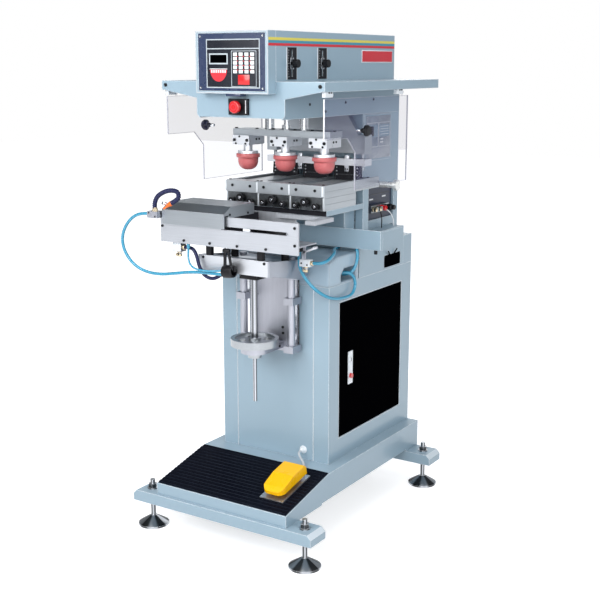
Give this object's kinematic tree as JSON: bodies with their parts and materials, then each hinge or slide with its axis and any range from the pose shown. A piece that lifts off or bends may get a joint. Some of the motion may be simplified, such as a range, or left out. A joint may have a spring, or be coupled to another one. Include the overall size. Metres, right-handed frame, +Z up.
{
  "type": "pad printing machine",
  "caption": "Floor-standing pad printer: silicone pads on a sliding carriage over open ink troughs and a height-adjustable shuttle table.",
  "frame": {"origin": "on the floor, under the middle of the machine's bounding box without its free hoses", "axes": "+Z up, +X across the machine to the operator's right, +Y from the operator to the back"},
  "size_m": [0.7458, 0.878, 1.55],
  "materials": {
    "body_paint": "satin enamel",
    "tread_rubber": "ribbed matt",
    "chrome": "polished",
    "door_black": "gloss enamel",
    "aluminium": "brushed",
    "steel": "ground",
    "polished_steel": "polished",
    "white_metal": "satin",
    "black_plastic": "moulded",
    "black_metal": "matt",
    "red_plastic": "gloss",
    "pad_silicone": "silicone",
    "yellow_plastic": "gloss",
    "navy_panel": "printed film",
    "navy_metal": "satin",
    "hose_blue": "gloss",
    "hose_navy": "moulded",
    "acrylic": "clear sheet",
    "grey_plastic": "moulded"
  },
  "bodies": {
    "frame": {"base_body": "body_paint", "cross_beams": "body_paint", "tread_mat": "tread_rubber", "levelling_feet": "chrome", "cabinet_shell": "body_paint", "front_pedestal": "body_paint", "rear_body": "body_paint", "deck_fascia": "body_paint", "trough_frame": "body_paint", "ink_troughs": "aluminium", "trough_lock_screws": "black_plastic", "upper_column": "body_paint", "cross_bar": "polished_steel", "valve_box": "navy_metal", "valve_fittings": "steel", "slide_back_plate": "aluminium", "head_housing": "body_paint", "console_box": "body_paint", "console_panel": "navy_panel", "wing_shell": "body_paint", "e_stop_block": "black_plastic", "guard_brackets": "white_metal", "slot_plates": "black_metal", "pedal_base": "steel", "pedal_lead": "grey_plastic", "hose_right_loop": "hose_blue", "hose_right_short": "hose_blue", "hose_right_link": "hose_blue"},
    "table": {"table_beam": "aluminium", "slide_carriage": "aluminium", "standoffs": "black_plastic", "lead_screw": "polished_steel", "shuttle_front_plate": "aluminium", "shuttle_tray": "steel", "table_valves": "aluminium", "hose_clamp": "black_plastic", "air_nozzle": "hose_navy", "hose_left_loop": "hose_blue"},
    "shuttle": {"shuttle_cover": "steel", "shuttle_slider": "black_metal"},
    "carriage": {"carriage_block": "steel"},
    "pad_unit": {"pad_plate": "steel", "guide_shafts": "chrome", "pad_blocks": "aluminium", "pads": "pad_silicone"},
    "blade_unit": {"blade_bar": "aluminium", "blade_plates": "black_metal"},
    "handwheel": {"handwheel": "steel"},
    "treadle": {"treadle": "yellow_plastic"},
    "stop_button": {"e_stop_button": "red_plastic"},
    "door": {"cabinet_door": "door_black", "door_lock": "white_metal"},
    "lock_button": {"lock_button": "red_plastic"},
    "stroke_knob_front": {"stroke_knob_front": "black_plastic"},
    "stroke_knob_rear": {"stroke_knob_rear": "black_plastic"},
    "left_guard": {"left_guard": "acrylic"},
    "right_guard": {"right_guard": "acrylic"},
    "trough_knob_left": {"trough_knob_left": "black_plastic"},
    "trough_knob_middle": {"trough_knob_middle": "black_plastic"},
    "trough_knob_right": {"trough_knob_right": "black_plastic"}
  },
  "joints": [
    {"name": "handwheel_spin", "type": "hinge", "parent": "frame", "child": "handwheel", "pos_m": [0, -0.224, 0.603], "axis": [0, 0, 1], "range_deg": [-2023, 898]},
    {"name": "table_height", "type": "slide", "parent": "frame", "child": "table", "axis": [0, 0, 1], "range_m": [-0.045, 0.02], "deforming": ["hose_right_loop", "hose_right_short"]},
    {"name": "shuttle_travel", "type": "slide", "parent": "table", "child": "shuttle", "axis": [1, 0, 0], "range_m": [0, 0.21]},
    {"name": "carriage_travel", "type": "slide", "parent": "frame", "child": "carriage", "axis": [0, -1, 0], "range_m": [0, 0.19]},
    {"name": "pad_stroke", "type": "slide", "parent": "carriage", "child": "pad_unit", "axis": [0, 0, 1], "range_m": [-0.024, 0]},
    {"name": "blade_lift", "type": "slide", "parent": "carriage", "child": "blade_unit", "axis": [0, 0, 1], "range_m": [0, 0.012]},
    {"name": "treadle_tilt", "type": "hinge", "parent": "frame", "child": "treadle", "pos_m": [0.16, -0.24864, 0.21891], "axis": [1, 0, 0], "range_deg": [0, 4.5], "stiffness_Nm_per_rad": 3, "springref_deg": -14.9},
    {"name": "stop_press", "type": "slide", "parent": "frame", "child": "stop_button", "axis": [0, 1, 0], "range_m": [0, 0.005], "stiffness_N_per_m": 800, "springref_m": -0.004},
    {"name": "door_swing", "type": "hinge", "parent": "frame", "child": "door", "pos_m": [0.1995, 0.36, 0.5055], "axis": [0, 0, 1], "range_deg": [0, 100]},
    {"name": "lock_press", "type": "slide", "parent": "door", "child": "lock_button", "axis": [-1, 0, 0], "range_m": [0, 0.003], "stiffness_N_per_m": 500, "springref_m": -0.003},
    {"name": "stroke_set_front", "type": "slide", "parent": "frame", "child": "stroke_knob_front", "axis": [0, 0, 1], "range_m": [-0.03, 0.03]},
    {"name": "stroke_set_rear", "type": "slide", "parent": "frame", "child": "stroke_knob_rear", "axis": [0, 0, 1], "range_m": [-0.03, 0.03]},
    {"name": "left_guard_swing", "type": "hinge", "parent": "frame", "child": "left_guard", "pos_m": [-0.281, -0.114, 1.371], "axis": [0, 1, 0], "range_deg": [0, 90]},
    {"name": "right_guard_swing", "type": "hinge", "parent": "frame", "child": "right_guard", "pos_m": [0.281, -0.114, 1.371], "axis": [0, 1, 0], "range_deg": [-90, 0]},
    {"name": "trough_knob_left_turn", "type": "hinge", "parent": "frame", "child": "trough_knob_left", "pos_m": [-0.12, -0.108, 1.046], "axis": [0, 1, 0], "continuous": true},
    {"name": "trough_knob_middle_turn", "type": "hinge", "parent": "frame", "child": "trough_knob_middle", "pos_m": [0, -0.108, 1.046], "axis": [0, 1, 0], "continuous": true},
    {"name": "trough_knob_right_turn", "type": "hinge", "parent": "frame", "child": "trough_knob_right", "pos_m": [0.12, -0.108, 1.046], "axis": [0, 1, 0], "continuous": true}
  ],
  "couplings": [
    {"joint": "table_height", "follows": "handwheel_spin", "m_per_rad": 0.0012732}
  ]
}
